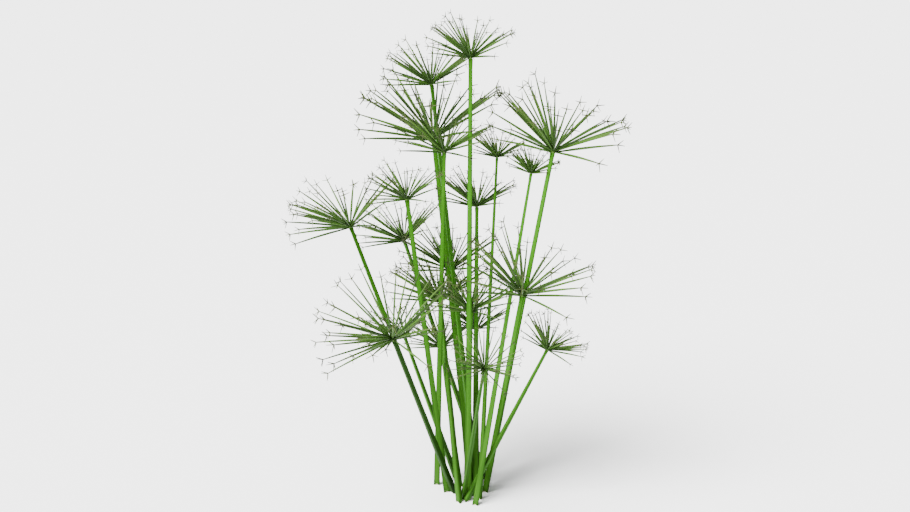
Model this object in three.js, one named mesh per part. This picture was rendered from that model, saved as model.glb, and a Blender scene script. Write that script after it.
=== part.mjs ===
// Dwarf papyrus: a clump of bare three-sided stems (culms), each with one umbel of narrow rays on its top.
// Millimetres, +Z up. The clump is cut off flat at the ground, z = 0. The origin is in the foot of culm_01.

import * as THREE from "three";

// One row for each culm and its umbel, in millimetres and degrees.
// foot: where the cut end stands on the ground, x and y
// head: the middle of the umbel's hub, x, y and z
// width: of the three-sided stem at its foot and at its top
// turn: which way one corner of the stem points, seen from above, from +X towards +Y
// reach: from the middle of the hub to the tip of the longest ray
const STALKS = [
  { name: "01", foot: [0, 0], head: [1, -20, 552], width: [7.4, 4.0], turn: 84, reach: 61 },
  { name: "02", foot: [12, 21], head: [-44, 0, 520], width: [7.0, 3.8], turn: -96, reach: 66 },
  { name: "03", foot: [5, 28], head: [-43, 45, 450], width: [7.4, 4.6], turn: 100, reach: 109 },
  { name: "04", foot: [-40, 34], head: [-29, -12, 443], width: [7.0, 4.0], turn: 78, reach: 70 },
  { name: "05", foot: [15, -7], head: [34, 30, 430], width: [6.0, 2.8], turn: -72, reach: 40 },
  { name: "06", foot: [9, -24], head: [74, 10, 414], width: [7.0, 3.0], turn: 70, reach: 39 },
  { name: "07", foot: [24, 24], head: [97, -20, 445], width: [7.4, 4.7], turn: -66, reach: 100 },
  { name: "08", foot: [-25, 43], head: [-143, 10, 349], width: [7.2, 4.2], turn: -100, reach: 84 },
  { name: "09", foot: [-27.5, 13], head: [-73, -25, 390], width: [7.3, 4.4], turn: 106, reach: 56 },
  { name: "10", foot: [24, 46], head: [-82, 90, 313], width: [7.0, 4.0], turn: -84, reach: 69 },
  { name: "11", foot: [8.5, 2], head: [10, 45, 367], width: [7.0, 3.8], turn: 96, reach: 60 },
  { name: "12", foot: [2, 40], head: [-22, 65, 281], width: [7.0, 4.2], turn: 88, reach: 78 },
  { name: "13", foot: [-10.9, -16.8], head: [-35, 40, 247], width: [7.6, 4.4], turn: -80, reach: 80 },
  { name: "14", foot: [-2, 8.3], head: [3, 8, 244], width: [7.0, 4.0], turn: 90, reach: 71 },
  { name: "15", foot: [22.3, 13], head: [63.5, -25, 274], width: [7.2, 4.7], turn: 64, reach: 99 },
  { name: "16", foot: [11, 35], head: [11, 70, 201], width: [6.6, 3.6], turn: 92, reach: 53 },
  { name: "17", foot: [-18, 10.5], head: [-88, -80, 237], width: [7.4, 4.7], turn: -84, reach: 100 },
  { name: "18", foot: [-10, 29], head: [-34, 55, 182], width: [6.6, 3.6], turn: 80, reach: 56 },
  { name: "19", foot: [-6.5, -5.5], head: [16, -110, 211], width: [6.0, 3.0], turn: -98, reach: 52 },
  { name: "20", foot: [-2.8, -13.4], head: [96, -10, 200], width: [6.8, 3.4], turn: -100, reach: 54 },
  { name: "21", foot: [-15, 51], head: [-82.5, 80, 187], width: [7.2, 3.8], turn: -90, reach: 60 },
];

// Stem section: a triangle whose corners are cut off a little.
const CORNERS = 3;
const CORNER_CUT = 9; // degrees to each side of a corner
const CORNER_REACH = 1 / 1.6; // from the middle to a corner, as a share of the width
const GAP = 0.3; // between a stem's top and its umbel

// Hub of an umbel: rings of points round the stem's line, as shares of the hub's radius.
const HUB_SHARE = 0.046; // hub radius as a share of the reach
const HUB_OVER_STEM = 1.45; // smallest hub radius, as a share of the stem's reach at its top
const RING_POINTS = 11;
const RINGS = [
  { radius: 0.66, height: -0.72 },
  { radius: 0.97, height: -0.1 },
  { radius: 0.93, height: 0.38 },
  { radius: 0.62, height: 0.72 },
  { radius: 0.26, height: 0.88 },
];

// Facets that can carry a ray, between a ring and the one above it. "low" facets stand on the lower ring.
// suits: the angle off the stem's line, in degrees, of the rays that fit them
const FACET_SETS = [
  { ring: 0, low: true, suits: 90 },
  { ring: 0, low: false, suits: 77 },
  { ring: 1, low: true, suits: 65 },
  { ring: 1, low: false, suits: 56 },
  { ring: 2, low: true, suits: 47 },
  { ring: 2, low: false, suits: 38 },
  { ring: 3, low: true, suits: 29 },
  { ring: 3, low: false, suits: 15 },
];

// Rays of every umbel, in degrees: off the stem's line, and round it from +X towards +Y seen from above.
const RAYS = [
  [62, 8], [55, 356], [64, 20], [58, 345], // bundle to the right
  [53, 180], [55, 153], [54, 168], [47, 193], // bundle to the left
  [53, 209], [54, 224], [47, 217], [64, 194], // left and near
  [82, 300], [68, 322], [61, 317], [52, 311], // right and near, with the lowest ray of that side
  [80, 215], [74, 203], [68, 225], [61, 245], // low ones to the left
  [60, 275], [61, 263], [52, 262], [48, 252], // near
  [47, 287], [37, 281], [39, 305], [42, 230], // near and steep
  [28, 151], [34, 202], [35, 250], // steepest
  [50, 133], [49, 121], [45, 108], // far
  [69, 93], [66, 80], [65, 66], [63, 54], [66, 42], // far and low
];
const SHARE = [0.95, 1.0]; // length of a ray as a share of the umbel's reach, shortest and longest
const STRAY = 3; // degrees that a ray may stray from its row above
const BEND_AT = 0.9; // share of a ray's length where it forks and bends
const BEND = 28; // degrees outwards and down
const LOWEST = 96; // degrees off the stem's line that a bent end may reach
const BLADE_TALL = 0.011; // height of a ray's section at its bend, as a share of the reach
const BLADE_THIN = 0.0075; // its thickness there
const BLADE_LEAST = 0.45; // and the least of either, in millimetres
const CLEAR = 0.45; // space kept between rays and what they pass, in millimetres
const SIBLING_FROM = 0.3; // rays of one umbel are kept apart from this share of their length on
const BASE_THICK = 0.22; // half thickness of a ray at its facet, as a share of the hub's radius
const BEND_THICK = 0.6; // and at its bend, as a share of its height there
const TIP_THICK = 0.1; // and at its tip, in millimetres
const FIRST_SEED = 7; // of the first umbel's small irregularities
const LEAST_FACING = 0.3; // how squarely a facet has to face a ray that grows from it, 1 being squarely
const HOMES_TRIED = 14; // facets that a ray may choose from
const CROSSING_NEAR = 0.8; // rays of one umbel may cross only this near, as a share of the hub's radius

const UP = new THREE.Vector3(0, 0, 1);
const RAD = Math.PI / 180;

// A repeatable stream of numbers between 0 and 1.
function numberStream(seed) {
  let state = seed;
  return () => {
    state = (state + 0x6d2b79f5) | 0;
    let mixed = Math.imul(state ^ (state >>> 15), 1 | state);
    mixed = (mixed + Math.imul(mixed ^ (mixed >>> 7), 61 | mixed)) ^ mixed;
    return ((mixed ^ (mixed >>> 14)) >>> 0) / 4294967296;
  };
}

// The place and turn of one stalk: its foot on the ground and its line towards the head.
function stalkGroup(stalk) {
  const group = new THREE.Group();
  const foot = new THREE.Vector3(stalk.foot[0], stalk.foot[1], 0);
  const line = new THREE.Vector3(...stalk.head).sub(foot);
  group.position.copy(foot);
  group.quaternion.setFromUnitVectors(UP, line.clone().normalize());
  group.userData.length = line.length();
  group.updateMatrixWorld(true);
  return group;
}

function stemReach(width) {
  return width * CORNER_REACH;
}

function hubRadius(stalk) {
  return Math.max(stalk.reach * HUB_SHARE, stemReach(stalk.width[1]) * HUB_OVER_STEM);
}

// One closed mesh from points and triangles.
function closedGeometry(points, triangles) {
  const geometry = new THREE.BufferGeometry();
  const flat = points.flatMap((point) => [point.x, point.y, point.z]);
  geometry.setAttribute("position", new THREE.Float32BufferAttribute(flat, 3));
  geometry.setIndex(triangles.flat());
  geometry.computeVertexNormals();
  return geometry;
}

// A fan of triangles over a ring of point numbers that runs anticlockwise seen from outside.
function fan(ring) {
  const triangles = [];
  for (let i = 1; i < ring.length - 1; i += 1) {
    triangles.push([ring[0], ring[i], ring[i + 1]]);
  }
  return triangles;
}

// A straight tapered stem along +Z. Its foot is cut along the ground, which slants in the stem's own frame.
function stemGeometry(stalk, group) {
  const lean = new THREE.Matrix4().makeRotationFromQuaternion(group.quaternion).elements;
  const topHeight = group.userData.length + RINGS[0].height * hubRadius(stalk) - GAP;
  const points = [];
  for (const end of [0, 1]) {
    const reach = stemReach(stalk.width[end]);
    for (let corner = 0; corner < CORNERS; corner += 1) {
      for (const side of [-1, 1]) {
        const angle = (stalk.turn + (corner * 360) / CORNERS + side * CORNER_CUT) * RAD;
        const x = reach * Math.cos(angle);
        const y = reach * Math.sin(angle);
        const z = end === 0 ? -(lean[2] * x + lean[6] * y) / lean[10] : topHeight;
        points.push(new THREE.Vector3(x, y, z));
      }
    }
  }
  const sides = points.length / 2;
  const bottom = Array.from({ length: sides }, (_, i) => i);
  const triangles = [...fan([...bottom].reverse()), ...fan(bottom.map((i) => i + sides))];
  for (let i = 0; i < sides; i += 1) {
    const next = (i + 1) % sides;
    triangles.push([i, next, sides + next], [i, sides + next, sides + i]);
  }
  return closedGeometry(points, triangles);
}

const scratchA = new THREE.Vector3();
const scratchB = new THREE.Vector3();
const scratchGap = new THREE.Vector3();

// Shortest distance between two straight stretches, and where along each it is.
function stretchDistance(a, b) {
  const alongA = scratchA.subVectors(a.end, a.start);
  const alongB = scratchB.subVectors(b.end, b.start);
  const between = scratchGap.subVectors(a.start, b.start);
  const lengthA = alongA.dot(alongA);
  const lengthB = alongB.dot(alongB);
  const f = alongB.dot(between);
  const c = alongA.dot(between);
  const both = alongA.dot(alongB);
  const spread = lengthA * lengthB - both * both;
  let s = spread > 1e-9 ? THREE.MathUtils.clamp((both * f - c * lengthB) / spread, 0, 1) : 0;
  let t = (both * s + f) / lengthB;
  if (t < 0 || t > 1) {
    t = THREE.MathUtils.clamp(t, 0, 1);
    s = THREE.MathUtils.clamp((both * t - c) / lengthA, 0, 1);
  }
  const gapVector = between.addScaledVector(alongA, s).addScaledVector(alongB, -t);
  return { distance: gapVector.length(), s, t };
}

// Free space between two stretches whose thickness changes evenly from start to end.
function freeSpace(a, b) {
  const { distance, s, t } = stretchDistance(a, b);
  const thickA = THREE.MathUtils.lerp(a.thick[0], a.thick[1], s);
  const thickB = THREE.MathUtils.lerp(b.thick[0], b.thick[1], t);
  return distance - thickA - thickB;
}

// The point at an angle off the stem's line and an angle round it, in the umbel's own frame.
function direction(offLine, round) {
  const across = Math.sin(offLine * RAD);
  const up = Math.cos(offLine * RAD);
  return new THREE.Vector3(across * Math.cos(round * RAD), across * Math.sin(round * RAD), up);
}

// The path of one ray: from the middle of its facet, straight to the bend, then a little outwards and down.
function rayPath(start, offLine, round, length) {
  const bend = start.clone().addScaledVector(direction(offLine, round), length * BEND_AT);
  const bent = Math.min(offLine + BEND, LOWEST);
  const tip = bend.clone().addScaledVector(direction(bent, round), length * (1 - BEND_AT));
  return { start, bend, tip, round };
}

// The two straight stretches of a ray in the clump's frame, from a share of its first stretch on.
function rayStretches(path, sizes, matrix, from) {
  const place = (point) => point.clone().applyMatrix4(matrix);
  const start = path.start.clone().lerp(path.bend, from);
  const startThick = THREE.MathUtils.lerp(sizes.base, sizes.bend, from);
  return [
    { start: place(start), end: place(path.bend), thick: [startThick, sizes.bend] },
    { start: place(path.bend), end: place(path.tip), thick: [sizes.bend, TIP_THICK] },
  ];
}

// Ways to turn a ray aside, the smallest first: none, then wider and wider, then shorter.
function turnsAside() {
  const turns = [{ off: 0, round: 0, short: 1 }];
  for (const short of [1, 0.86, 0.7, 0.5]) {
    for (const size of [3, 6, 9, 12]) {
      for (let way = 0; way < 8; way += 1) {
        const angle = way * 45 * RAD;
        turns.push({ off: size * Math.cos(angle), round: size * Math.sin(angle), short });
      }
    }
  }
  return turns;
}
const TURNS_ASIDE = turnsAside();

// The hub's points, ring by ring, each ring half a step round from the one below it.
function hubPoints(radius) {
  return RINGS.flatMap((ring, level) =>
    Array.from({ length: RING_POINTS }, (_, i) => {
      const round = ((i + level / 2) * 360) / RING_POINTS;
      return direction(90, round).multiplyScalar(ring.radius * radius).setZ(ring.height * radius);
    }),
  );
}

// Point numbers of the two facets that start at place i between ring and ring + 1.
function facet(ring, low, i) {
  const here = ring * RING_POINTS;
  const above = here + RING_POINTS;
  const next = (i + 1) % RING_POINTS;
  return low ? [here + i, here + next, above + i] : [above + i, here + next, above + next];
}

// Every facet of the hub: its corners, its middle, which way it looks and the rays that suit it.
function hubFacets(points) {
  return FACET_SETS.flatMap((set) =>
    Array.from({ length: RING_POINTS }, (_, place) => {
      const corners = facet(set.ring, set.low, place);
      const [a, b, c] = corners.map((corner) => points[corner]);
      const middle = a.clone().add(b).add(c).divideScalar(3);
      const outward = b.clone().sub(a).cross(c.clone().sub(a)).normalize();
      const suits = direction(set.suits, Math.atan2(middle.y, middle.x) / RAD);
      return { corners, middle, outward, suits, points: [a, b, c] };
    }),
  );
}

// The facets that a ray may grow from, the best one first.
function homesFor(facets, heading) {
  const apart = (place) => place.suits.angleTo(heading);
  const facing = facets.filter((place) => place.outward.dot(heading) > LEAST_FACING);
  return facing.sort((a, b) => apart(a) - apart(b)).slice(0, HOMES_TRIED);
}

// The points of a ray: three on its facet, three at the bend that follow them, and the tip.
function rayPoints(home, path, tall, thin) {
  const along = path.bend.clone().sub(path.start).normalize();
  const across = new THREE.Vector3().crossVectors(UP, direction(90, path.round)).normalize();
  const over = new THREE.Vector3().crossVectors(across, along).normalize();
  const offsets = home.points.map((point) => {
    const offset = point.clone().sub(path.start);
    return [offset.dot(across), offset.dot(over)];
  });
  const widest = Math.max(...offsets.map(([side]) => Math.abs(side)));
  const heights = offsets.map(([, height]) => height);
  const tallest = Math.max(...heights) - Math.min(...heights);
  const bend = offsets.map(([side, height]) =>
    path.bend
      .clone()
      .addScaledVector(across, (side / widest) * (thin / 2))
      .addScaledVector(over, (height / tallest) * tall),
  );
  return [...home.points, ...bend, path.tip];
}

// Faces and edges of a ray, as places in the list that rayPoints gives.
const RAY_FACES = [
  [0, 1, 4], [0, 4, 3], [3, 4, 6],
  [1, 2, 5], [1, 5, 4], [4, 5, 6],
  [2, 0, 3], [2, 3, 5], [5, 3, 6],
];
const RAY_EDGES = [
  [0, 3], [1, 4], [2, 5], [0, 4], [1, 5], [2, 3],
  [3, 4], [4, 5], [5, 3], [3, 6], [4, 6], [5, 6],
];

// Whether an edge passes through a face. Touching it at the rim doesn't count.
function passesThrough(from, to, [a, b, c]) {
  const along = to.clone().sub(from);
  const sideB = b.clone().sub(a);
  const sideC = c.clone().sub(a);
  const turned = along.clone().cross(sideC);
  const facing = sideB.dot(turned);
  if (Math.abs(facing) < 1e-9) return false;
  const offset = from.clone().sub(a);
  const shareB = offset.dot(turned) / facing;
  const lifted = offset.cross(sideB);
  const shareC = along.dot(lifted) / facing;
  const reached = sideC.dot(lifted) / facing;
  const parts = [reached, 1 - reached, shareB, shareC, 1 - shareB - shareC];
  return parts.every((part) => part > 1e-4);
}

function edgesPass(points, faces) {
  return RAY_EDGES.some(([from, to]) => faces.some((face) => passesThrough(points[from], points[to], face)));
}

function facesOf(points) {
  return RAY_FACES.map((face) => face.map((place) => points[place]));
}

// Whether two rays of one umbel cross.
function raysCross(a, b, radius) {
  if (stretchDistance(a.line, b.line).distance > radius * CROSSING_NEAR) return false;
  return edgesPass(a.points, b.faces) || edgesPass(b.points, a.faces);
}

// One umbel as a single closed mesh: the hub, with rays grown from its facets.
// A ray that would meet a stem, another umbel or a ray beside it is turned aside, and then shortened.
function umbelGeometry(stalk, index, matrix, obstacles, placed) {
  const radius = hubRadius(stalk);
  const points = hubPoints(radius);
  const facets = hubFacets(points);
  const random = numberStream(FIRST_SEED + index);
  const tall = Math.max(stalk.reach * BLADE_TALL, BLADE_LEAST);
  const thin = Math.max(stalk.reach * BLADE_THIN, BLADE_LEAST);
  const sizes = { base: radius * BASE_THICK, bend: tall * BEND_THICK };
  const own = [];
  const grown = new Map();

  // A ray from one facet if it passes everything, otherwise nothing.
  const tryRay = (home, offLine, round, length) => {
    const path = rayPath(home.middle, offLine, round, length);
    const whole = rayStretches(path, sizes, matrix, 0);
    const outer = rayStretches(path, sizes, matrix, SIBLING_FROM);
    const meets =
      whole.some((stretch) => obstacles.some((other) => freeSpace(stretch, other) < CLEAR)) ||
      whole.some((stretch) => placed.some((other) => freeSpace(stretch, other) < CLEAR)) ||
      outer.some((stretch) => own.some((other) => freeSpace(stretch, other) < CLEAR / 2));
    if (meets) return null;
    const solid = rayPoints(home, path, tall, thin);
    const line = { start: path.start, end: path.bend };
    const ray = { whole, outer, line, points: solid, faces: facesOf(solid) };
    if ([...grown.values()].some((other) => raysCross(ray, other, radius))) return null;
    const hub = facets.filter((place) => place !== home).map((place) => place.points);
    return edgesPass(solid, hub) ? null : ray;
  };

  const growRay = (offLine, round, length) => {
    const homes = homesFor(facets, direction(offLine, round)).filter((home) => !grown.has(home));
    for (const turn of TURNS_ASIDE) {
      for (const home of homes) {
        const long = (length - home.middle.length()) * turn.short;
        const ray = tryRay(home, offLine + turn.off, round + turn.round, long);
        if (ray) {
          own.push(...ray.outer);
          grown.set(home, ray);
          return;
        }
      }
    }
  };

  for (const [rowOff, rowRound] of RAYS) {
    const offLine = rowOff + (random() - 0.5) * STRAY;
    const round = rowRound + (random() - 0.5) * STRAY;
    growRay(offLine, round, stalk.reach * (SHARE[0] + (SHARE[1] - SHARE[0]) * random()));
  }

  const triangles = [];
  for (const home of facets) {
    const ray = grown.get(home);
    if (ray) {
      const numbers = [...home.corners, ...[0, 1, 2, 3].map((i) => points.length + i)];
      points.push(...ray.points.slice(CORNERS));
      triangles.push(...RAY_FACES.map((face) => face.map((place) => numbers[place])));
      placed.push(...ray.whole);
    } else {
      triangles.push(home.corners);
    }
  }
  const bottom = Array.from({ length: RING_POINTS }, (_, i) => i);
  const top = bottom.map((i) => i + (RINGS.length - 1) * RING_POINTS);
  triangles.push(...fan([...bottom].reverse()), ...fan(top));
  return closedGeometry(points, triangles);
}

// What a ray has to pass: every stem but its own, and every hub but its own.
function obstaclesFor(own, stalks) {
  return stalks
    .filter((other) => other !== own)
    .flatMap(({ stalk, group }) => {
      const foot = group.position.clone();
      const head = new THREE.Vector3(...stalk.head);
      const hub = hubRadius(stalk);
      return [
        { start: foot, end: head, thick: stalk.width.map(stemReach) },
        { start: head, end: head.clone().addScaledVector(UP, TIP_THICK), thick: [hub, hub] },
      ];
    });
}

function plantMaterial(color, roughness) {
  return new THREE.MeshStandardMaterial({ color, roughness, metalness: 0, flatShading: true });
}

function culmMaterial() {
  return plantMaterial(0x63a035, 0.5);
}

function umbelMaterial() {
  return plantMaterial(0x3f7328, 0.6);
}

// Stalk by stalk: a group at the foot, turned to the stem's line, with the culm and at its end the umbel.
function buildClump() {
  const clump = new THREE.Group();
  const stalks = STALKS.map((stalk) => ({ stalk, group: stalkGroup(stalk) }));
  const placed = [];
  stalks.forEach((entry, index) => {
    const { stalk, group } = entry;
    const culm = new THREE.Mesh(stemGeometry(stalk, group), culmMaterial());
    culm.name = `culm_${stalk.name}`;
    const holder = new THREE.Object3D();
    holder.position.z = group.userData.length;
    group.add(culm, holder);
    group.updateMatrixWorld(true);
    const obstacles = obstaclesFor(entry, stalks);
    const rays = umbelGeometry(stalk, index, holder.matrixWorld, obstacles, placed);
    const umbel = new THREE.Mesh(rays, umbelMaterial());
    umbel.name = `umbel_${stalk.name}`;
    holder.add(umbel);
    clump.add(group);
  });
  return clump;
}

const group = buildClump();
export default group;
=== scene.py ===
import math
from types import SimpleNamespace

import bmesh
import bpy
import numpy as np
from mathutils import Matrix, Vector


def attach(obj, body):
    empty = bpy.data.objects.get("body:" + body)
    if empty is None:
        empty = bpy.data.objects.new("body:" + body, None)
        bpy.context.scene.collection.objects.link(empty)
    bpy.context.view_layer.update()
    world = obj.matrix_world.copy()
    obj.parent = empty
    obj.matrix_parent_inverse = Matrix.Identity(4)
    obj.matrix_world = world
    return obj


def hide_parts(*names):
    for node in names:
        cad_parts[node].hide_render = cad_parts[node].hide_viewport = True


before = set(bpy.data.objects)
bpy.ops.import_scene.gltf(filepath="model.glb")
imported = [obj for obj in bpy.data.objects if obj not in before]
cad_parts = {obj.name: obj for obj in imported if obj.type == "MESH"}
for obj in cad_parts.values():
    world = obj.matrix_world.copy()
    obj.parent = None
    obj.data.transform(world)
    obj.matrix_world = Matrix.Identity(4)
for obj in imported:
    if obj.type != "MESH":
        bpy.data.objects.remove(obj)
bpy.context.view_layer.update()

# Lengths are in metres, angles in degrees and colours in linear light. A tint multiplies the colour under it.
MM = 0.001
STEM_COUNT = 21
NUMBERS = [f"{i + 1:02d}" for i in range(STEM_COUNT)]

# Points of a solid that are closer than this are one, and the tip of a solid ray has this many neighbours.
SAME_POINT = 0.002 * MM
TIP_NEIGHBOURS = 3

# Camera of the photograph, worked out from the feet of the stems and the tilt of the umbels
PHOTO_WIDTH_PIXELS = 910
FOCAL_PIXELS = 1125
SENSOR_WIDTH = 36.0
CAMERA_PLACE = (-0.0167, -1.3084, 0.645)
CAMERA_PITCH = 14.2
CAMERA_NEAREST = 0.01
CAMERA_FURTHEST = 200

# Studio
FLOOR_REACH = 60
FLOOR_COLOUR = (0.95, 0.95, 0.95)
FLOOR_ROUGHNESS = 0.9
FLOOR_GLOSS = 0.1
SKY_STRENGTH = 0.5
SUN_STRENGTH = 17
SUN_WIDTH = 40
TOWARDS_SUN = (-0.55, -0.5, 0.85)

# Shape of a stem. Insets, swell and pith are shares of the distance from its middle to a corner.
STEM_SIDES = 3
STEM_STEPS = 48
STEM_AROUND = 54
FACE_INSET = 0.63
CORNER_INSET = 1.0
CORNER_SHARPNESS = 36
FACE_SWELL = 0.07
RIDGE_SHARPNESS = 4.0
FOOT_NOTCH = 2.2 * MM
FOOT_RECESS = 1.0 * MM
FOOT_PITH = 0.6
COLLAR_LENGTH = 7.0 * MM
COLLAR_FLARE = 0.22

# Finish of a stem
STEM_GREENS = (
    (0.25, (0.016, 0.08, 0.0032)),
    (0.5, (0.028, 0.122, 0.005)),
    (0.75, (0.047, 0.174, 0.008)),
)
STREAKS_AROUND = 9
STREAKS_ALONG = 14
STREAK_DETAIL = 4
STREAK_BUMP = 0.3
STREAK_DEPTH = 0.2 * MM
# Painted shade: the ridges are tinted darker, standing in for the edges that turn away from the light.
RIDGE_SHADE_TINT = (0.5, 0.55, 0.4)
# Darker and cooler towards the foot: partly painted shade under the umbels, partly the older foot's own darker
# green.
FOOT_SHADE_AND_TONE_TINT = (0.9, 0.7, 1.4)
FOOT_SHADE_AND_TONE_HEIGHT = 300 * MM
# Painted shade: stems 17 and 19 are tinted darker, as if they stood in shade.
PAINTED_SHADE_TINT = (0.4, 0.42, 0.4)
STEM_PAINTED_SHADE = {"17": 1.0, "19": 0.45}
STEM_ROUGHNESS = 0.6
STEM_GLOSS = 0.04
PITH_TONES = (
    (0.0, (0.33, 0.36, 0.16)),
    (0.7, (0.62, 0.62, 0.36)),
)
PITH_CELLS = 2500
PITH_ROUGHNESS = 0.85

# Hub of an umbel, in shares of its radius. Its widest ring and its lowest one are those of the solid hub.
HUB_WIDEST = 0.97
HUB_BOTTOM = 0.72
HUB_IN_STEM = 0.2
HUB_SHAPE = ((0.0, 0.42), (0.3, 0.62), (0.6, 0.6), (0.85, 0.4), (1.0, 0.08))
HUB_STEPS = 14
HUB_AROUND = 20
HUB_TONE_ALONG = 0.55

# Rays. A ray starts inside the hub, at a share of the way from its base to the middle. Its sag is a share of its
# length, and its height and thickness at its widest grow with the umbel's reach, from a least size.
RAY_POINTS = 12
RAY_ROOT = 0.72
RAY_SAG = 0.012
RAY_SIDEWAYS_LEAST = 0.45
RAY_SIDES = 4
RAY_HEIGHT_LEAST = 1.05 * MM
RAY_HEIGHT_GAIN = 0.0185
RAY_THICKNESS_LEAST = 0.9 * MM
RAY_THICKNESS_GAIN = 0.016
RAY_TAPER = ((0.0, 0.5), (0.12, 0.72), (0.4, 1.0), (0.72, 0.82), (1.0, 0.4))
RAY_GREENS = (
    (0.02, (0.027, 0.07, 0.0085)),
    (0.2, (0.038, 0.097, 0.0095)),
    (0.7, (0.051, 0.117, 0.014)),
    (0.9, (0.057, 0.103, 0.017)),
    (1.0, (0.052, 0.066, 0.019)),
)
# Painted shade: some rays are tinted darker, standing in for the shaded sides of the keeled rays.
RAY_PAINTED_SHADE_TINT = (0.3, 0.32, 0.4)
RAY_PAINTED_SHADE_STEP = 0.618
RAY_PATCH_SCALE = 220
RAY_PATCH_DETAIL = 3
RAY_PATCH_SHIFT = 0.3
RAY_ROUGHNESS = 0.6
RAY_GLOSS = 0.12

# Arms of the fork on each ray's end. Their length is a share of the umbel's reach, their radius at the root a
# share of their length, and their radius at the end a share of that.
ARM_COUNT = 4
ARM_SIDES = 4
ARM_STEPS = 2
ARM_LENGTH = 0.09
ARM_LENGTH_VARIES = (0.85, 1.1)
ARM_SPREAD = 56.0
ARM_RADIUS = 0.08
ARM_RADIUS_LEAST = 0.5 * MM
ARM_END = 0.42
ARM_SEED = 11


def new_object(name, data):
    piece = bpy.data.objects.new(name, data)
    bpy.context.scene.collection.objects.link(piece)
    return piece


def merged(node_name):
    """Points of a CAD node, with those that its triangles share merged, and the neighbours of each point."""
    shape = bmesh.new()
    shape.from_mesh(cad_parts[node_name].data)
    bmesh.ops.remove_doubles(shape, verts=shape.verts, dist=SAME_POINT)
    shape.verts.ensure_lookup_table()
    points = np.array([v.co for v in shape.verts])
    neighbours = [[e.other_vert(v).index for e in v.link_edges] for v in shape.verts]
    shape.free()
    return points, neighbours


def point_values(mesh, name, values, kind="FLOAT"):
    """One number, or one vector, for each point of a mesh, for a material or a node tree to read."""
    attribute = mesh.attributes.new(name, kind, "POINT")
    field = "vector" if kind == "FLOAT_VECTOR" else "value"
    attribute.data.foreach_set(field, np.array(values, float).ravel())


# Camera, floor and light

def make_camera():
    data = bpy.data.cameras.new("camera")
    data.sensor_width = SENSOR_WIDTH
    data.lens = FOCAL_PIXELS / PHOTO_WIDTH_PIXELS * SENSOR_WIDTH
    data.clip_start = CAMERA_NEAREST
    data.clip_end = CAMERA_FURTHEST
    camera = new_object("camera", data)
    camera.location = CAMERA_PLACE
    camera.rotation_euler = (math.radians(90 - CAMERA_PITCH), 0, 0)
    bpy.context.scene.camera = camera


def make_floor():
    shape = bmesh.new()
    bmesh.ops.create_grid(shape, x_segments=1, y_segments=1, size=FLOOR_REACH)
    mesh = bpy.data.meshes.new("floor")
    shape.to_mesh(mesh)
    shape.free()
    floor = new_object("floor", mesh)
    material, _, shader = new_material("pale_floor")
    shader.inputs["Base Color"].default_value = (*FLOOR_COLOUR, 1)
    shader.inputs["Roughness"].default_value = FLOOR_ROUGHNESS
    shader.inputs["Specular IOR Level"].default_value = FLOOR_GLOSS
    mesh.materials.append(material)


def make_light():
    world = bpy.data.worlds.new("studio")
    world.use_nodes = True
    background = world.node_tree.nodes["Background"]
    background.inputs["Color"].default_value = (1, 1, 1, 1)
    background.inputs["Strength"].default_value = SKY_STRENGTH
    bpy.context.scene.world = world
    data = bpy.data.lights.new("sun", "SUN")
    data.energy = SUN_STRENGTH
    data.angle = math.radians(SUN_WIDTH)
    sun = new_object("sun", data)
    sun.rotation_euler = Vector(TOWARDS_SUN).to_track_quat("Z", "Y").to_euler()


# Nodes that the materials and the umbels' tree are built from

def new_material(name):
    material = bpy.data.materials.new(name)
    material.use_nodes = True
    tree = material.node_tree
    return material, tree, tree.nodes["Principled BSDF"]


def add(tree, kind, **settings):
    node = tree.nodes.new(kind)
    for key, value in settings.items():
        setattr(node, key, value)
    return node


def feed(tree, value, socket):
    """Set a socket to a number, or link another node's output to it."""
    if isinstance(value, float):
        socket.default_value = value
    else:
        tree.links.new(value, socket)


def product(tree, value, factor):
    node = add(tree, "ShaderNodeMath", operation="MULTIPLY")
    feed(tree, value, node.inputs[0])
    feed(tree, factor, node.inputs[1])
    return node.outputs["Value"]


def point_value(tree, name):
    """What point_values kept on a piece, as a material reads it."""
    return add(tree, "ShaderNodeAttribute", attribute_name=name).outputs


def place_on_piece(tree):
    return add(tree, "ShaderNodeTexCoord").outputs["Object"]


def noise(tree, place, scale, detail):
    node = add(tree, "ShaderNodeTexNoise")
    node.inputs["Scale"].default_value = scale
    node.inputs["Detail"].default_value = detail
    tree.links.new(place, node.inputs["Vector"])
    return node.outputs["Fac"]


def toned(tree, value, stops):
    """Colour that goes from stop to stop as the value rises."""
    node = add(tree, "ShaderNodeValToRGB")
    elements = node.color_ramp.elements
    while len(elements) < len(stops):
        elements.new(0.5)
    for element, (place, colour) in zip(elements, stops):
        element.position = place
        element.color = (*colour, 1)
    tree.links.new(value, node.inputs["Fac"])
    return node.outputs["Color"]


def tinted(tree, colour, tint, share):
    """The colour, with a tint laid over it as far as the share says."""
    node = add(tree, "ShaderNodeMix", data_type="RGBA", blend_type="MULTIPLY")
    node.inputs["B"].default_value = (*tint, 1)
    tree.links.new(share, node.inputs["Factor"])
    tree.links.new(colour, node.inputs["A"])
    return node.outputs["Result"]


# Materials

def closeness_to_ground(tree):
    """One at the ground, falling to nothing where the foot's darkening, partly painted shade, ends."""
    parts = add(tree, "ShaderNodeSeparateXYZ")
    tree.links.new(place_on_piece(tree), parts.inputs["Vector"])
    share = add(tree, "ShaderNodeMapRange")
    share.inputs["From Min"].default_value = 0
    share.inputs["From Max"].default_value = FOOT_SHADE_AND_TONE_HEIGHT
    share.inputs["To Min"].default_value = 1
    share.inputs["To Max"].default_value = 0
    tree.links.new(parts.outputs["Z"], share.inputs["Value"])
    return share.outputs["Result"]


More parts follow.
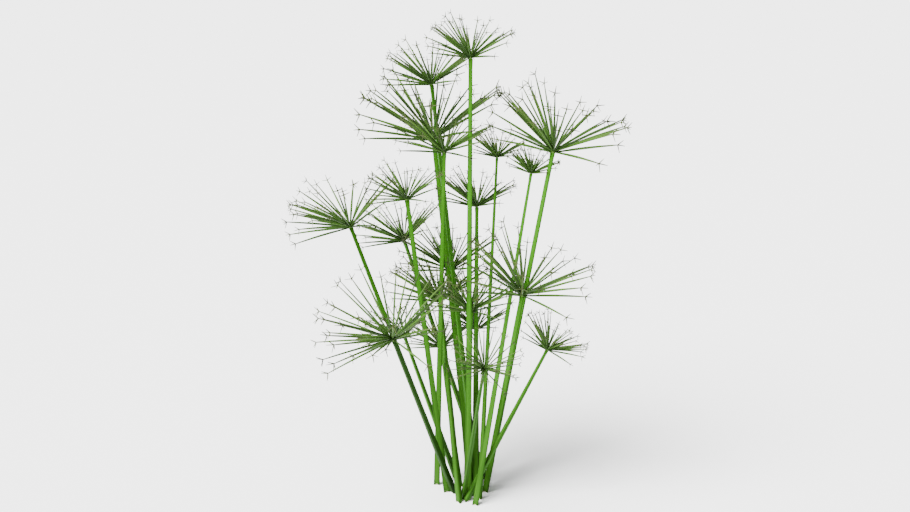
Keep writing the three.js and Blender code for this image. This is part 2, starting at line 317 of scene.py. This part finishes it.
def stem_material():
    """Fresh green with fine lengthwise streaks, with painted shade on the ridges and on two chosen stems, and
    darker and cooler towards the foot, partly as painted shade.
    """
    material, tree, shader = new_material("stem_green")
    link = tree.links.new
    streaks = noise(tree, point_value(tree, "grain")["Vector"], 1.0, STREAK_DETAIL)
    green = toned(tree, streaks, STEM_GREENS)
    green = tinted(tree, green, RIDGE_SHADE_TINT, point_value(tree, "ridge_shade")["Fac"])
    green = tinted(tree, green, FOOT_SHADE_AND_TONE_TINT, closeness_to_ground(tree))
    green = tinted(tree, green, PAINTED_SHADE_TINT, point_value(tree, "painted_shade")["Fac"])
    link(green, shader.inputs["Base Color"])
    bump = add(tree, "ShaderNodeBump")
    bump.inputs["Strength"].default_value = STREAK_BUMP
    bump.inputs["Distance"].default_value = STREAK_DEPTH
    link(streaks, bump.inputs["Height"])
    link(bump.outputs["Normal"], shader.inputs["Normal"])
    shader.inputs["Roughness"].default_value = STEM_ROUGHNESS
    shader.inputs["Specular IOR Level"].default_value = STEM_GLOSS
    return material


def pith_material():
    """Pale spongy inside of a cut stem."""
    material, tree, shader = new_material("cut_pith")
    cells = add(tree, "ShaderNodeTexVoronoi")
    cells.inputs["Scale"].default_value = PITH_CELLS
    tree.links.new(place_on_piece(tree), cells.inputs["Vector"])
    tree.links.new(toned(tree, cells.outputs["Distance"], PITH_TONES), shader.inputs["Base Color"])
    shader.inputs["Roughness"].default_value = PITH_ROUGHNESS
    return material


def ray_material():
    """Dark green at the hub, mid green along the ray, olive at its fork, and painted shade on some rays,
    standing in for the shaded sides of the keeled rays.
    """
    material, tree, shader = new_material("ray_green")
    link = tree.links.new
    patches = noise(tree, place_on_piece(tree), RAY_PATCH_SCALE, RAY_PATCH_DETAIL)
    shift = add(tree, "ShaderNodeMath", operation="MULTIPLY_ADD")
    shift.inputs[1].default_value = RAY_PATCH_SHIFT
    shift.inputs[2].default_value = -RAY_PATCH_SHIFT / 2
    link(patches, shift.inputs[0])
    along = add(tree, "ShaderNodeMath", operation="ADD")
    link(point_value(tree, "along")["Fac"], along.inputs[0])
    link(shift.outputs["Value"], along.inputs[1])
    green = toned(tree, along.outputs["Value"], RAY_GREENS)
    green = tinted(tree, green, RAY_PAINTED_SHADE_TINT, point_value(tree, "ray_painted_shade")["Fac"])
    link(green, shader.inputs["Base Color"])
    shader.inputs["Roughness"].default_value = RAY_ROUGHNESS
    shader.inputs["Specular IOR Level"].default_value = RAY_GLOSS
    return material


# Stems

def solid_stem(number):
    """Ends, direction, way to a corner and sizes of a stem, from the two rings of points of its CAD node."""
    points, _ = merged(f"culm_{number}")
    order = np.argsort(points[:, 2])
    half = len(points) // 2
    foot_ring, top_ring = points[order[:half]], points[order[half:]]
    foot, top = foot_ring.mean(0), top_ring.mean(0)
    line = (top - foot) / np.linalg.norm(top - foot)
    side = top_ring - top
    flat = foot_ring - foot
    flat = flat - np.outer(flat @ line, line)
    # The middle of a cut corner is halfway between the two closest points of the ring.
    gaps = np.linalg.norm(side[:, None] - side[None], axis=2) + np.eye(half)
    a, b = np.unravel_index(gaps.argmin(), gaps.shape)
    corner = side[a] + side[b]
    corner = corner / np.linalg.norm(corner)
    return SimpleNamespace(
        foot=foot, top=top, line=line, corner=corner, across=np.cross(line, corner),
        reach_foot=np.linalg.norm(flat, axis=1).max(), reach_top=np.linalg.norm(side, axis=1).max(),
    )


def section(turns):
    """Distance from a stem's middle to its skin, in shares of a corner's distance, at turns from a corner."""
    to_face = math.pi / STEM_SIDES
    turn = np.mod(turns + to_face, 2 * to_face) - to_face
    face = FACE_INSET / np.cos(to_face - np.abs(turn))
    corner = CORNER_INSET / np.cos(turn)
    blended = face ** -CORNER_SHARPNESS + corner ** -CORNER_SHARPNESS
    return blended ** (-1 / CORNER_SHARPNESS) + FACE_SWELL * np.sin(STEM_SIDES * np.abs(turn) / 2) ** 2


def outwards(stem, turn):
    return math.cos(turn) * stem.corner + math.sin(turn) * stem.across


def on_ground(stem, point):
    """The point, moved along the stem to the ground."""
    return point - stem.line * (point[2] / stem.line[2])


def skin_points(stem, turns, shares, faceness):
    """Rings of points from a stem's notched foot to its collar, and where the streaks on each are read."""
    length = np.linalg.norm(stem.top - stem.foot)
    points, grain = [], []
    for step in range(STEM_STEPS + 1):
        part = step / STEM_STEPS
        reach = stem.reach_foot + (stem.reach_top - stem.reach_foot) * part
        to_top = (1 - part) * length
        if to_top < COLLAR_LENGTH:
            reach *= 1 + COLLAR_FLARE * (1 - to_top / COLLAR_LENGTH) ** 2
        middle = stem.foot + (stem.top - stem.foot) * part
        for turn, share, faced in zip(turns, shares, faceness):
            point = middle + outwards(stem, turn) * share * reach
            if step == 0:
                point = on_ground(stem, point) + stem.line * FOOT_NOTCH * faced
            points.append(point)
            around = (math.cos(turn) * STREAKS_AROUND, math.sin(turn) * STREAKS_AROUND)
            grain.append((*around, part * length * STREAKS_ALONG))
    return points, grain


def pith_points(stem, turns, shares):
    """Ring of points round the pith, set back into the cut foot."""
    points = []
    for turn, share in zip(turns, shares):
        point = stem.foot + outwards(stem, turn) * share * stem.reach_foot * FOOT_PITH
        points.append(on_ground(stem, point) + stem.line * FOOT_RECESS)
    return points


def stem_faces():
    """Faces of a stem, and for each one whether it is skin or pith: its side, its cut foot, then its top."""
    skin, pith = 0, 1
    faces, kinds = [], []
    for step in range(STEM_STEPS):
        low, high = step * STEM_AROUND, (step + 1) * STEM_AROUND
        for i in range(STEM_AROUND):
            j = (i + 1) % STEM_AROUND
            faces.append((low + i, low + j, high + j, high + i))
            kinds.append(skin)
    top = STEM_STEPS * STEM_AROUND
    inner = top + STEM_AROUND
    for i in range(STEM_AROUND):
        j = (i + 1) % STEM_AROUND
        faces.append((j, i, inner + i, inner + j))
        kinds.append(pith)
    faces.append(tuple(inner + i for i in reversed(range(STEM_AROUND))))
    kinds.append(pith)
    faces.append(tuple(top + i for i in range(STEM_AROUND)))
    kinds.append(skin)
    return faces, kinds


def make_stem(number, skin, pith):
    stem = solid_stem(number)
    turns = np.arange(STEM_AROUND) * 2 * math.pi / STEM_AROUND
    shares = section(turns)
    # Nothing at a corner and one in the middle of a face.
    faceness = (1 - np.cos(STEM_SIDES * turns)) / 2
    points, grain = skin_points(stem, turns, shares, faceness)
    inner = pith_points(stem, turns, shares)
    # Painted shade, full at each corner and falling to none a little way into each face.
    ridge_shade = list(np.clip(1 - faceness * RIDGE_SHARPNESS, 0, 1)) * (STEM_STEPS + 1)
    faces, kinds = stem_faces()
    mesh = bpy.data.meshes.new(f"stem_{number}")
    mesh.from_pydata([tuple(p) for p in points + inner], [], faces)
    mesh.materials.append(skin)
    mesh.materials.append(pith)
    mesh.polygons.foreach_set("material_index", kinds)
    point_values(mesh, "grain", grain + [(0, 0, 0)] * len(inner), "FLOAT_VECTOR")
    point_values(mesh, "ridge_shade", ridge_shade + [0] * len(inner))
    # Painted shade on the chosen stems.
    point_values(mesh, "painted_shade", [STEM_PAINTED_SHADE.get(number, 0.0)] * len(points + inner))
    mesh.shade_smooth()
    piece = new_object(f"stem_{number}", mesh)
    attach(piece, "root")
    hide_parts(f"culm_{number}")


# Umbels

def solid_umbel(number):
    """Base, bend and tip of every ray of an umbel, and the points of its hub, from its CAD node."""
    points, neighbours = merged(f"umbel_{number}")
    rays, taken = [], set()
    for tip, near in enumerate(neighbours):
        if len(near) != TIP_NEIGHBOURS:
            continue
        bend = points[near].mean(0)
        base = {n for k in near for n in neighbours[k]} - set(near) - {tip}
        rays.append((points[sorted(base)].mean(0), bend, points[tip]))
        taken.update(near, [tip])
    hub = np.array([p for i, p in enumerate(points) if i not in taken])
    return rays, hub


def umbel_place(number, hub):
    """Where the umbel stands: the middle of its hub with +Z along its stem, and the hub's radius."""
    stem = solid_stem(number)
    along = (hub - stem.top) @ stem.line
    across = hub - stem.top - np.outer(along, stem.line)
    radius = np.linalg.norm(across, axis=1).max() / HUB_WIDEST
    middle = Vector(stem.top + stem.line * (along.min() + HUB_BOTTOM * radius))
    turned = Vector(stem.line).to_track_quat("Z", "Y").to_matrix().to_4x4()
    return Matrix.Translation(middle) @ turned, radius


def ray_line(base, fork, radius):
    """Points along a ray, from inside the hub, through its facet, in a slightly sagging line, to its fork."""
    heading = (fork - base) / np.linalg.norm(fork - base)
    sideways = max(math.hypot(heading[0], heading[1]), RAY_SIDEWAYS_LEAST)
    root = base - heading * min(RAY_ROOT * math.hypot(base[0], base[1]) / sideways, radius)
    length = np.linalg.norm(fork - root)
    path = []
    for i in range(RAY_POINTS):
        part = i / (RAY_POINTS - 1)
        point = root + (fork - root) * part
        point[2] += RAY_SAG * length * math.sin(math.pi * part) * sideways
        path.append(point)
    return path


def ray_lines(number, place, radius, rays):
    """One string of edges for each ray, in the umbel's own frame, for the node tree to thicken."""
    back = np.array(place.inverted())
    points, edges, facing, ray_painted_shade = [], [], [], []
    for index, ray in enumerate(rays):
        base, fork, tip = (back[:3, :3] @ p + back[:3, 3] for p in ray)
        path = ray_line(base, fork, radius)
        first = len(points)
        points.extend(path)
        facing.extend([(tip - fork) / np.linalg.norm(tip - fork)] * len(path))
        # Painted shade on some rays, spread through them by a fixed step.
        ray_painted_shade.extend([index * RAY_PAINTED_SHADE_STEP % 1.0] * len(path))
        edges.extend((first + i, first + i + 1) for i in range(len(path) - 1))
    mesh = bpy.data.meshes.new(f"ray_lines_{number}")
    mesh.from_pydata([tuple(p) for p in points], edges, [])
    point_values(mesh, "fork_facing", facing, "FLOAT_VECTOR")
    point_values(mesh, "ray_painted_shade", ray_painted_shade)
    return mesh


# The umbels' node tree

def profile_curve(tree, part, stops):
    """A value that follows a smooth curve through the given places."""
    node = add(tree, "ShaderNodeFloatCurve")
    line = node.mapping.curves[0]
    line.points[0].location = stops[0]
    line.points[1].location = stops[-1]
    for stop in stops[1:-1]:
        line.points.new(*stop)
    node.mapping.update()
    tree.links.new(part, node.inputs["Value"])
    return node.outputs["Value"]


def stored(tree, geometry, name, value):
    """The geometry, with a number kept on each of its points."""
    node = add(tree, "GeometryNodeStoreNamedAttribute", data_type="FLOAT", domain="POINT")
    node.inputs["Name"].default_value = name
    tree.links.new(geometry, node.inputs["Geometry"])
    feed(tree, value, node.inputs["Value"])
    return node.outputs["Geometry"]


def marked_lines(tree, given):
    """The rays' lines as curves, each with its share of the way from hub to fork kept on it."""
    link = tree.links.new
    curve = add(tree, "GeometryNodeMeshToCurve")
    link(given["Lines"], curve.inputs["Mesh"])
    upright = add(tree, "GeometryNodeSetCurveNormal", mode="Z_UP")
    link(curve.outputs["Curve"], upright.inputs["Curve"])
    part = add(tree, "GeometryNodeSplineParameter").outputs["Factor"]
    return stored(tree, upright.outputs["Curve"], "along", part)


def ray_bodies(tree, given, lines):
    """The rays: four-sided, a little higher than thick, finest at hub and fork."""
    link = tree.links.new
    ring = add(tree, "GeometryNodeCurvePrimitiveCircle")
    ring.inputs["Resolution"].default_value = RAY_SIDES
    ring.inputs["Radius"].default_value = 0.5
    sizes = add(tree, "ShaderNodeCombineXYZ")
    link(given["Ray Thickness"], sizes.inputs["X"])
    link(given["Ray Height"], sizes.inputs["Y"])
    sizes.inputs["Z"].default_value = 1
    flat_ring = add(tree, "GeometryNodeTransform")
    link(ring.outputs["Curve"], flat_ring.inputs["Geometry"])
    link(sizes.outputs["Vector"], flat_ring.inputs["Scale"])
    part = add(tree, "GeometryNodeSplineParameter").outputs["Factor"]
    made = add(tree, "GeometryNodeCurveToMesh")
    made.inputs["Fill Caps"].default_value = True
    link(lines, made.inputs["Curve"])
    link(flat_ring.outputs["Geometry"], made.inputs["Profile Curve"])
    link(profile_curve(tree, part, RAY_TAPER), made.inputs["Scale"])
    return made.outputs["Mesh"]


def fork_cross(tree, given):
    """A cross of thin arms, one unit long, that lean away from the middle."""
    link = tree.links.new
    arm = add(tree, "GeometryNodeMeshCone", fill_type="NGON")
    arm.inputs["Vertices"].default_value = ARM_SIDES
    arm.inputs["Side Segments"].default_value = ARM_STEPS
    arm.inputs["Depth"].default_value = 1
    link(given["Arm Radius"], arm.inputs["Radius Bottom"])
    link(product(tree, given["Arm Radius"], ARM_END), arm.inputs["Radius Top"])
    cross = add(tree, "GeometryNodeJoinGeometry")
    for i in range(ARM_COUNT):
        leaning = add(tree, "GeometryNodeTransform")
        leaning.inputs["Rotation"].default_value = (math.radians(ARM_SPREAD), 0, i * 2 * math.pi / ARM_COUNT)
        link(arm.outputs["Mesh"], leaning.inputs["Geometry"])
        link(leaning.outputs["Geometry"], cross.inputs["Geometry"])
    return cross.outputs["Geometry"]


def forks(tree, given, lines):
    """A fork on the end of every ray, turned the way that the ray's end faces."""
    link = tree.links.new
    ends = add(tree, "GeometryNodeCurveEndpointSelection")
    ends.inputs["Start Size"].default_value = 0
    ends.inputs["End Size"].default_value = 1
    facing = add(tree, "GeometryNodeInputNamedAttribute", data_type="FLOAT_VECTOR")
    facing.inputs["Name"].default_value = "fork_facing"
    turned = add(tree, "FunctionNodeAxesToRotation", primary_axis="Z", secondary_axis="X")
    link(facing.outputs["Attribute"], turned.inputs["Primary Axis"])
    turned.inputs["Secondary Axis"].default_value = (0, 0, 1)
    vary = add(tree, "FunctionNodeRandomValue", data_type="FLOAT")
    vary.inputs["Min"].default_value, vary.inputs["Max"].default_value = ARM_LENGTH_VARIES
    vary.inputs["Seed"].default_value = ARM_SEED
    placed = add(tree, "GeometryNodeInstanceOnPoints")
    link(lines, placed.inputs["Points"])
    link(ends.outputs["Selection"], placed.inputs["Selection"])
    link(fork_cross(tree, given), placed.inputs["Instance"])
    link(turned.outputs["Rotation"], placed.inputs["Rotation"])
    link(product(tree, given["Arm Length"], vary.outputs["Value"]), placed.inputs["Scale"])
    real = add(tree, "GeometryNodeRealizeInstances")
    link(placed.outputs["Instances"], real.inputs["Geometry"])
    return stored(tree, real.outputs["Geometry"], "along", 1.0)


def hub_knob(tree, given):
    """The funnel on the stem's top that the rays spring from."""
    link = tree.links.new
    line = add(tree, "GeometryNodeCurvePrimitiveLine")
    for end, height in (("Start", -HUB_BOTTOM - HUB_IN_STEM), ("End", HUB_BOTTOM)):
        point = add(tree, "ShaderNodeCombineXYZ")
        link(product(tree, given["Hub Radius"], height), point.inputs["Z"])
        link(point.outputs["Vector"], line.inputs[end])
    even = add(tree, "GeometryNodeResampleCurve")
    even.inputs["Count"].default_value = HUB_STEPS
    link(line.outputs["Curve"], even.inputs["Curve"])
    ring = add(tree, "GeometryNodeCurvePrimitiveCircle")
    ring.inputs["Resolution"].default_value = HUB_AROUND
    link(given["Hub Radius"], ring.inputs["Radius"])
    part = add(tree, "GeometryNodeSplineParameter").outputs["Factor"]
    knob = add(tree, "GeometryNodeCurveToMesh")
    knob.inputs["Fill Caps"].default_value = True
    link(even.outputs["Curve"], knob.inputs["Curve"])
    link(ring.outputs["Curve"], knob.inputs["Profile Curve"])
    link(profile_curve(tree, part, HUB_SHAPE), knob.inputs["Scale"])
    return stored(tree, knob.outputs["Mesh"], "along", HUB_TONE_ALONG)


def umbel_tree():
    """Node tree that makes an umbel's rays, forks and hub from the lines of its rays."""
    tree = bpy.data.node_groups.new("umbel", "GeometryNodeTree")
    face = tree.interface
    face.new_socket("Lines", in_out="INPUT", socket_type="NodeSocketGeometry")
    for name in ("Ray Height", "Ray Thickness", "Hub Radius", "Arm Length", "Arm Radius"):
        face.new_socket(name, in_out="INPUT", socket_type="NodeSocketFloat")
    face.new_socket("Finish", in_out="INPUT", socket_type="NodeSocketMaterial")
    face.new_socket("Umbel", in_out="OUTPUT", socket_type="NodeSocketGeometry")
    link = tree.links.new
    given = add(tree, "NodeGroupInput").outputs
    made = add(tree, "NodeGroupOutput")
    lines = marked_lines(tree, given)
    together = add(tree, "GeometryNodeJoinGeometry")
    for geometry in (ray_bodies(tree, given, lines), forks(tree, given, lines), hub_knob(tree, given)):
        link(geometry, together.inputs["Geometry"])
    whole = add(tree, "GeometryNodeRealizeInstances")
    link(together.outputs["Geometry"], whole.inputs["Geometry"])
    finish = add(tree, "GeometryNodeSetMaterial")
    link(whole.outputs["Geometry"], finish.inputs["Geometry"])
    link(given["Finish"], finish.inputs["Material"])
    link(finish.outputs["Geometry"], made.inputs["Umbel"])
    return tree


def socket_id(tree, name):
    sockets = (item for item in tree.interface.items_tree if item.in_out == "INPUT")
    return next(item.identifier for item in sockets if item.name == name)


def grown(number, tree, lines, values):
    """The plain mesh that the node tree makes from an umbel's ray lines and sizes."""
    helper = new_object(f"ray_lines_{number}", lines)
    growing = helper.modifiers.new("umbel", "NODES")
    growing.node_group = tree
    for name, value in values.items():
        growing[socket_id(tree, name)] = value
    bpy.context.view_layer.update()
    evaluated = helper.evaluated_get(bpy.context.evaluated_depsgraph_get())
    mesh = bpy.data.meshes.new_from_object(evaluated)
    mesh.name = f"umbel_rays_{number}"
    # Set Material leaves an empty slot before its own.
    mesh.materials.pop(index=0)
    bpy.data.objects.remove(helper)
    return mesh


def make_umbel(number, tree, finish):
    rays, hub = solid_umbel(number)
    place, radius = umbel_place(number, hub)
    middle = np.array(place.translation)
    reach = max(np.linalg.norm(tip - middle) for _, _, tip in rays)
    arm_length = ARM_LENGTH * reach
    values = {
        "Ray Height": RAY_HEIGHT_LEAST + RAY_HEIGHT_GAIN * reach,
        "Ray Thickness": RAY_THICKNESS_LEAST + RAY_THICKNESS_GAIN * reach,
        "Hub Radius": radius,
        "Arm Length": arm_length,
        "Arm Radius": max(ARM_RADIUS, ARM_RADIUS_LEAST / arm_length),
        "Finish": finish,
    }
    mesh = grown(number, tree, ray_lines(number, place, radius, rays), values)
    mesh.transform(place)
    piece = new_object(mesh.name, mesh)
    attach(piece, "root")
    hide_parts(f"umbel_{number}")


make_camera()
make_floor()
make_light()
skin, pith, green = stem_material(), pith_material(), ray_material()
growth = umbel_tree()
for number in NUMBERS:
    make_stem(number, skin, pith)
    make_umbel(number, growth, green)
